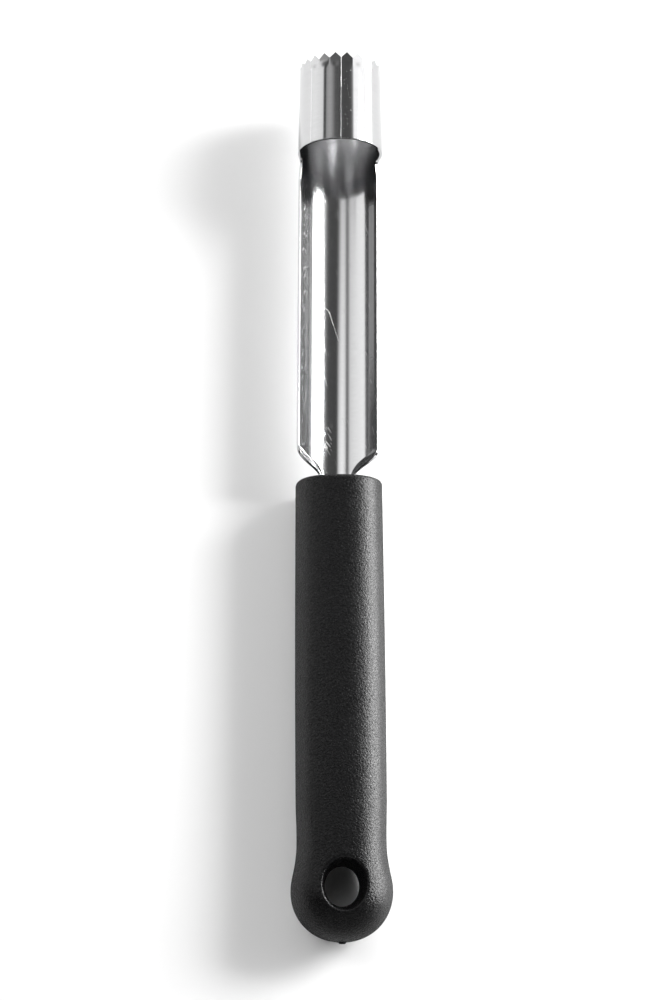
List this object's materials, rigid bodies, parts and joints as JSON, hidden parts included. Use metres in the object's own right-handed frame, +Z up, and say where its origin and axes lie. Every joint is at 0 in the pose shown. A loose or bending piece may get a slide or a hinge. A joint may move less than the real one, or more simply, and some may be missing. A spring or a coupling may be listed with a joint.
{
  "type": "apple corer",
  "caption": "Hand apple corer: rolled stainless steel trough with a toothed, butt-seamed cutting ring, on a moulded black plastic handle with a hang hole in its swollen end.",
  "frame": {"origin": "On the table, under the middle of the bounding box, as the corer lies with the open side of its trough up.", "axes": "+Y runs along the corer from the hang hole to the teeth, +Z is up and out of the open trough, +X is to the right with the teeth pointing away."},
  "size_m": [0.0234, 0.21, 0.0304],
  "materials": {
    "steel": "bright rolled stainless sheet with fine scratches",
    "plastic": "fine spark-eroded grain, satin"
  },
  "bodies": {
    "root": {"blade": "steel", "handle": "plastic"}
  },
  "joints": []
}
